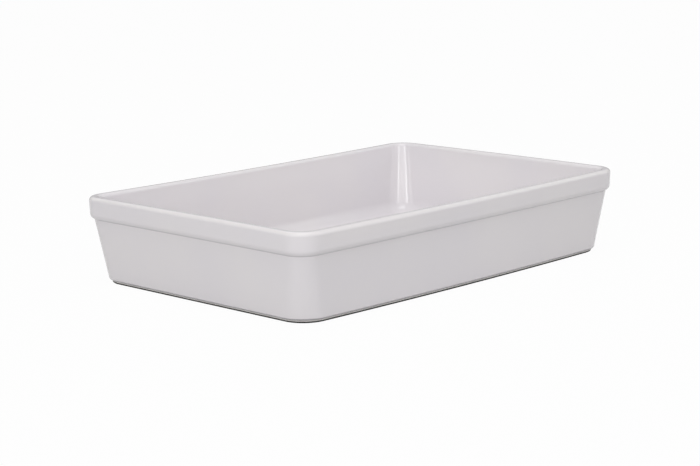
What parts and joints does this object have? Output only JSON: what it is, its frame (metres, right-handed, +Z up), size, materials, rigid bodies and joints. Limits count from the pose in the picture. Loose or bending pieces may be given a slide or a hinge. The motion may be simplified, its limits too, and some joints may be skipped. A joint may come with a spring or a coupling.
{
  "type": "lasagna dish",
  "caption": "Deep rectangular baking dish in white glazed stoneware, with a raised band round the rim, tapering walls, rounded corners and a bare foot ring.",
  "frame": {"origin": "centre of the plane that the foot ring stands on, in the middle of the dish", "axes": "+X along the length, +Y across the width, +Z up out of the open top"},
  "size_m": [0.3598, 0.2398, 0.067],
  "materials": {
    "fired_clay": "matte",
    "white_glaze": "gloss",
    "underside_glaze": "gloss"
  },
  "bodies": {
    "root": {"ceramic_body": "fired_clay", "glaze_coat": "white_glaze", "underside_glaze": "underside_glaze"}
  },
  "joints": []
}
